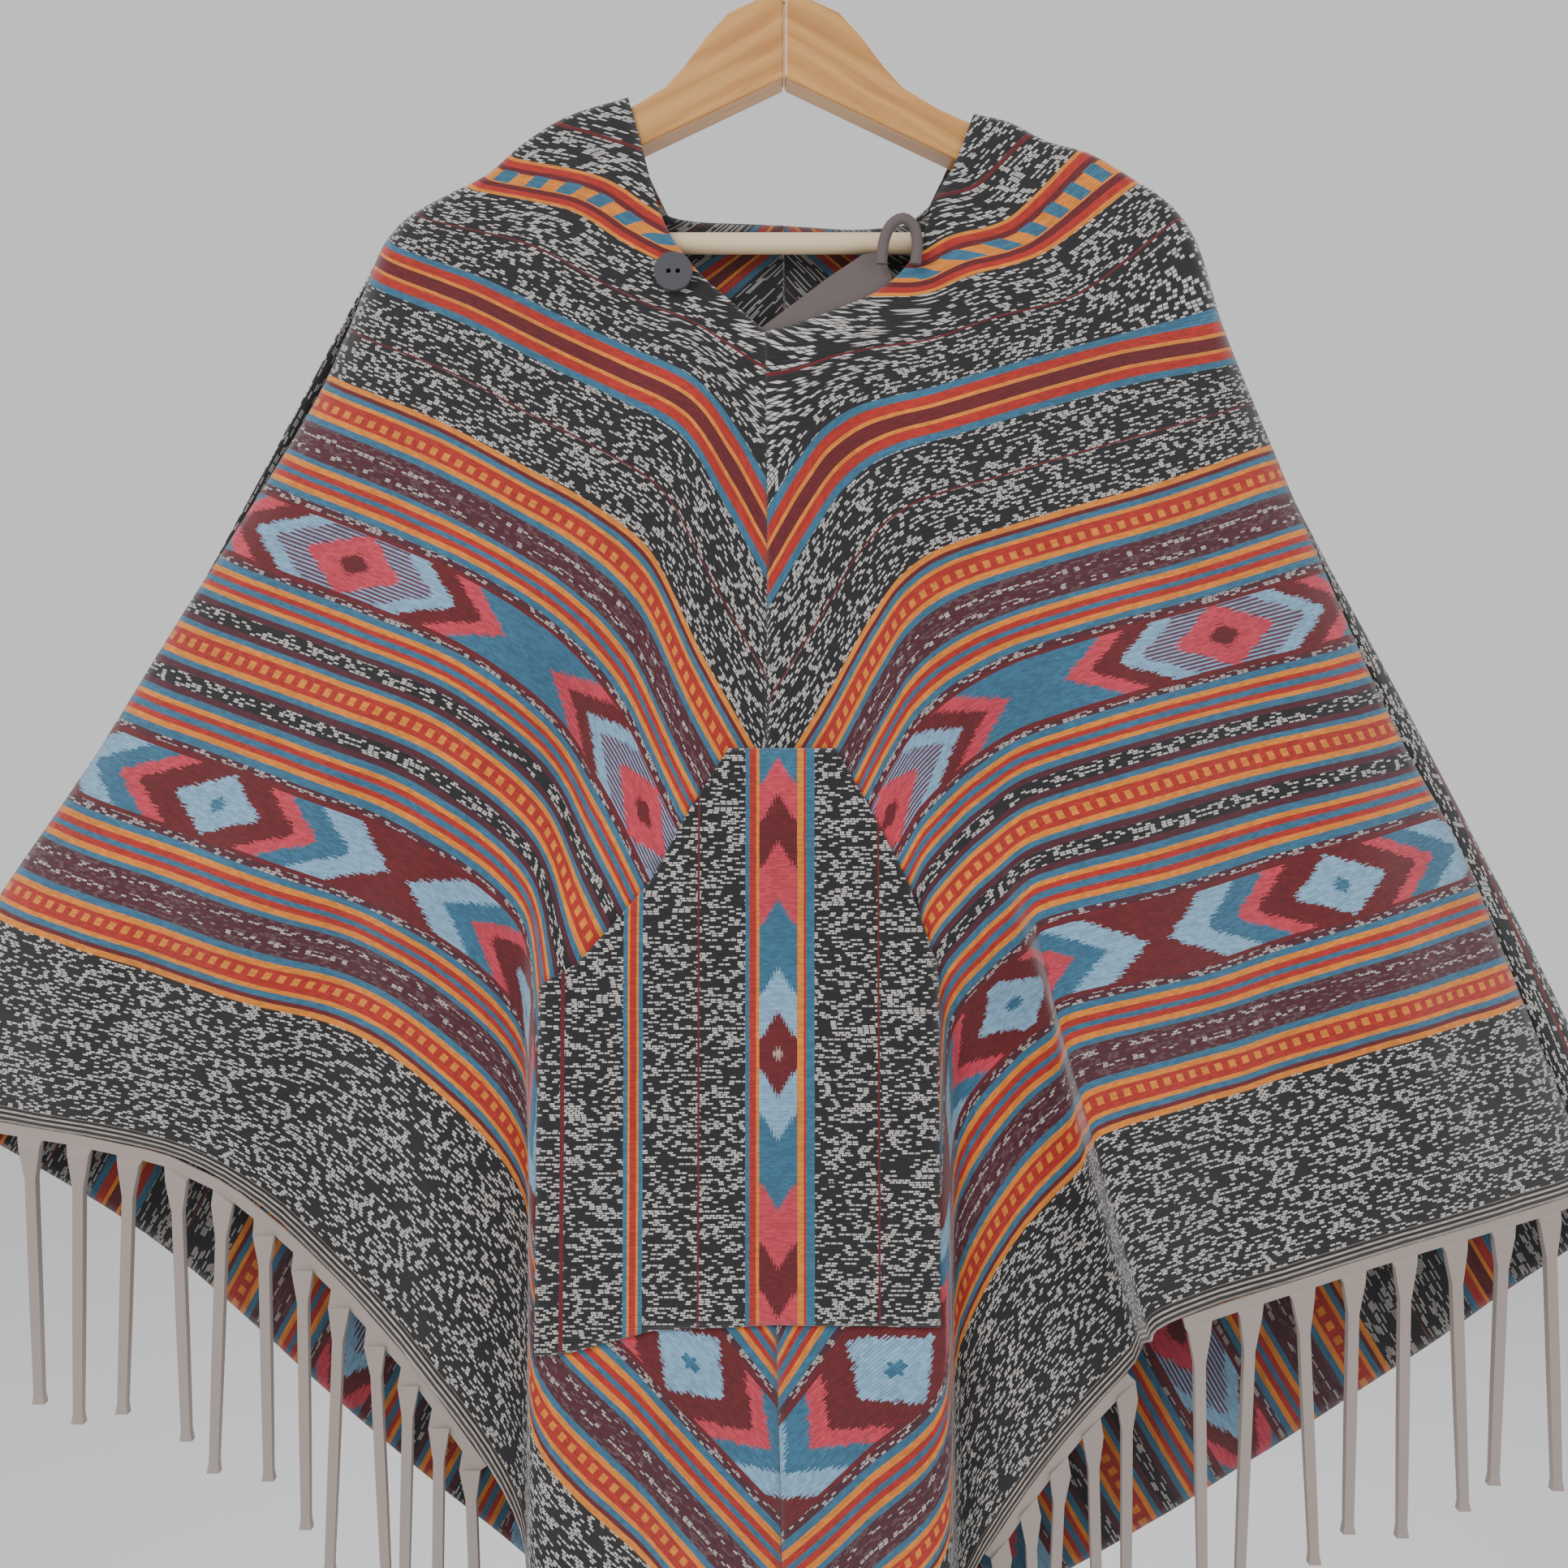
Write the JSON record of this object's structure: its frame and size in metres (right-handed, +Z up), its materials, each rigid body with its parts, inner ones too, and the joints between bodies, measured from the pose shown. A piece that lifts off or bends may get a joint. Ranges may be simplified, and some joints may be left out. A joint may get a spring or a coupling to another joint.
{
  "type": "hooded poncho on a wooden hanger",
  "caption": "Striped and ikat-patterned hooded poncho with a front pouch pocket, neck button and fringed front hem, hanging on a wooden hanger.",
  "frame": {"origin": "inside top of the hanger's hook, where it rests on a rail", "axes": "+Z up, -Y towards the garment's front, +X towards the right of someone who faces it"},
  "size_m": [0.9569, 0.1084, 1.2765],
  "materials": {
    "shawl_cloth": "brushed weft-faced shawl cloth, black speckled with cream, red, orange, blue and pink stripes and ikat diamonds",
    "fringe_yarn": "twisted cords of beige and black warp yarn",
    "button": "dark grey, satin, with a beige thread",
    "varnished_pine": "golden clear-varnished pine",
    "pale_wood": "pale unvarnished turned rod",
    "hook_wire": "bright nickel-plated wire"
  },
  "bodies": {
    "root": {"front_left": "shawl_cloth", "front_right": "shawl_cloth", "back_left": "shawl_cloth", "back_right": "shawl_cloth", "hood_left": "shawl_cloth", "hood_right": "shawl_cloth", "pocket": "shawl_cloth", "neck_facing": "shawl_cloth", "button_loop": "shawl_cloth", "button": "button", "fringe_left_side": "fringe_yarn", "fringe_left_centre": "fringe_yarn", "fringe_right_side": "fringe_yarn", "fringe_right_valley": "fringe_yarn", "fringe_right_centre": "fringe_yarn", "hanger_arm_left": "varnished_pine", "hanger_arm_right": "varnished_pine", "hanger_dowel": "pale_wood", "hanger_hook": "hook_wire"}
  },
  "joints": []
}
